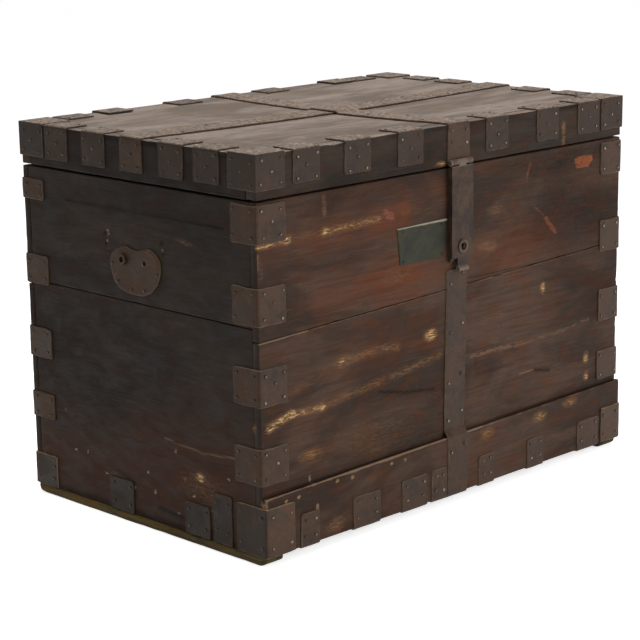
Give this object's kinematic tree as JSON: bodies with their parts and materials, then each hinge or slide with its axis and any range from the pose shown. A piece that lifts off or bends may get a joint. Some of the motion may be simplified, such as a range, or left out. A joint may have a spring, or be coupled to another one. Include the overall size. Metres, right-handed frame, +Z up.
{
  "type": "wooden storage trunk",
  "caption": "Iron-bound wooden storage trunk with a hinged flat lid, strap hasp over a slot lock, end handle plates and a drop handle.",
  "frame": {"origin": "on the floor, under the middle of the whole outline", "axes": "+X along the front to the right, +Y from the front to the back, +Z up"},
  "size_m": [0.8834, 0.5716, 0.623],
  "materials": {
    "stained_boards": "worn dark brown stain with scuffs",
    "dark_boards": "very dark worn stain",
    "worn_top_boards": "dusty, dry and worn",
    "raw_wood": "bare and rough",
    "black_iron": "brown-black wrought iron, light rust",
    "nail_iron": "worn nail heads",
    "brass_plate": "dark patina"
  },
  "bodies": {
    "case": {"front_upper_board": "stained_boards", "front_lower_board": "stained_boards", "back_upper_board": "dark_boards", "back_lower_board": "dark_boards", "left_upper_board": "dark_boards", "left_lower_board": "dark_boards", "right_upper_board": "dark_boards", "right_lower_board": "dark_boards", "bottom_boards": "dark_boards", "front_plinth_board": "stained_boards", "left_skid": "raw_wood", "right_skid": "raw_wood", "front_left_corner_clips": "black_iron", "front_right_corner_clips": "black_iron", "back_left_corner_clips": "black_iron", "back_right_corner_clips": "black_iron", "plinth_corner_plates": "black_iron", "front_foot_clips": "black_iron", "back_foot_clips": "black_iron", "left_foot_clips": "black_iron", "right_foot_clips": "black_iron", "front_strap": "black_iron", "back_centre_hinge_leaf": "black_iron", "back_outer_hinge_leaves": "black_iron", "lid_hinge_pins": "black_iron", "lock_plate": "black_iron", "lock_case": "black_iron", "name_plate": "brass_plate", "name_plate_pins": "brass_plate", "left_handle_plate": "black_iron", "left_handle_collar": "black_iron", "right_handle_plate": "black_iron", "right_handle_eyes": "black_iron", "case_nails": "nail_iron", "handle_rivets": "nail_iron"},
    "lid": {"lid_front_board": "worn_top_boards", "lid_back_board": "worn_top_boards", "lid_front_rail": "stained_boards", "lid_back_rail": "stained_boards", "lid_left_rail": "dark_boards", "lid_right_rail": "dark_boards", "lid_long_strap": "black_iron", "lid_centre_strap": "black_iron", "lid_outer_hinge_leaves": "black_iron", "lid_front_clips": "black_iron", "lid_back_clips": "black_iron", "lid_left_clips": "black_iron", "lid_right_clips": "black_iron", "lid_corner_caps": "black_iron", "lid_nails": "nail_iron", "hasp_pin": "black_iron"},
    "hasp": {"hasp_plate": "black_iron", "hasp_staple": "black_iron", "keyhole_ring": "black_iron"},
    "bolt": {"lock_bolt": "black_iron"},
    "drop_handle": {"right_handle_bail": "black_iron"}
  },
  "joints": [
    {"name": "lid_hinge", "type": "hinge", "parent": "case", "child": "lid", "pos_m": [0.00125, 0.2803, 0.55], "axis": [-1, 0, 0], "range_deg": [0, 105]},
    {"name": "hasp_swing", "type": "hinge", "parent": "lid", "child": "hasp", "pos_m": [0.00125, -0.2768, 0.557], "axis": [-1, 0, 0], "range_deg": [0, 140]},
    {"name": "lock_bolt_slide", "type": "slide", "parent": "case", "child": "bolt", "axis": [-1, 0, 0], "range_m": [0, 0.01]},
    {"name": "right_handle_swing", "type": "hinge", "parent": "case", "child": "drop_handle", "pos_m": [0.43475, 0.0015, 0.428], "axis": [0, -1, 0], "range_deg": [0, 160]}
  ]
}
